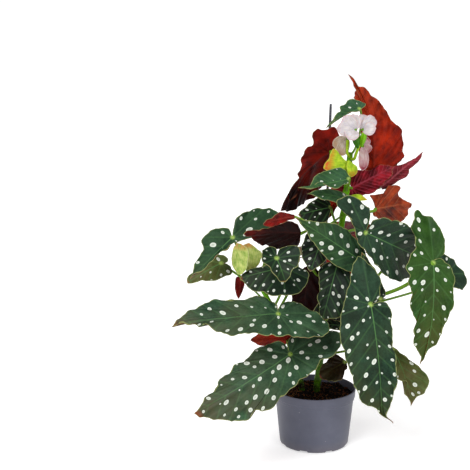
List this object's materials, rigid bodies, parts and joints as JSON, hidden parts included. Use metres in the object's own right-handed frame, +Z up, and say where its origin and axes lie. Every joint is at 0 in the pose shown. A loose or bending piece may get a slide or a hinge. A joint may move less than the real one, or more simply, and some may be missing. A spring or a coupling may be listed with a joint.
{
  "type": "potted polka dot begonia",
  "caption": "Potted begonia with long spotted angel-wing leaves, red undersides, a small white flower spray and a support stake, standing in a round nursery pot of soil.",
  "frame": {"origin": "middle of the flat pad under the pot, on the surface it stands on", "axes": "+Z up along the pot's axis, -Y towards the side seen in the picture, +X to that view's right"},
  "size_m": [0.4338, 0.3275, 0.5372],
  "materials": {
    "pot_plastic": "moulded polypropylene, slate grey, satin",
    "potting_mix": "moist peat with bark and coir crumbs",
    "stake": "dark coated stick, semi-matt",
    "cane": "smooth green stem, slightly waxy",
    "leaf_spotted": "dark green leaf with silver-white oval spots, red below, satin",
    "leaf_red": "young leaf with a red underside and raised veins, satin",
    "withered_leaf": "dry crumpled brown leaf, matt",
    "bract": "thin lime green stipule, translucent",
    "tepal": "thin white petal with a pink edge, translucent"
  },
  "bodies": {
    "root": {"nursery_pot": "pot_plastic", "potting_soil": "potting_mix", "support_stake": "stake", "cane_main": "cane", "cane_left": "cane", "leaf_front_hanging": "leaf_spotted", "leaf_right_hanging": "leaf_spotted", "leaf_far_right": "leaf_spotted", "leaf_upper_right": "leaf_spotted", "leaf_small_top": "leaf_spotted", "leaf_narrow_top": "leaf_spotted", "leaf_centre": "leaf_spotted", "leaf_heart": "leaf_spotted", "leaf_under_heart": "leaf_spotted", "leaf_left_upper": "leaf_spotted", "leaf_left_long": "leaf_spotted", "leaf_left_low": "leaf_spotted", "leaf_right_low": "leaf_spotted", "leaf_inner_hanging": "leaf_spotted", "leaf_inner_dark": "leaf_spotted", "leaf_behind_centre": "leaf_spotted", "leaf_inner_low": "leaf_spotted", "leaf_inner_bottom": "leaf_spotted", "leaf_inner_right": "leaf_spotted", "leaf_red_tall": "leaf_red", "leaf_red_pointed": "leaf_red", "leaf_red_crinkled": "leaf_red", "leaf_inner_red": "leaf_red", "leaf_red_fan": "leaf_red", "leaf_maroon_hanging": "leaf_red", "leaf_topmost": "leaf_spotted", "leaf_left_red_fold": "leaf_red", "leaf_left_maroon": "leaf_red", "leaf_left_red_low": "leaf_red", "leaf_left_under": "leaf_spotted", "leaf_small_red": "leaf_red", "leaf_small_orange": "leaf_red", "leaf_withered": "withered_leaf", "leaf_back_left": "leaf_spotted", "leaf_back_middle": "leaf_spotted", "leaf_back_right": "leaf_spotted", "leaf_back_low": "leaf_spotted", "bract_lime_left": "bract", "bract_lime_top": "bract", "stipule_right": "bract", "stipule_left_outer": "bract", "stipule_left_inner": "bract", "flower_upper_left": "tepal", "flower_upper_right": "tepal", "flower_lower_left": "tepal", "flower_lower_right": "tepal", "flower_stalk": "cane"}
  },
  "joints": []
}
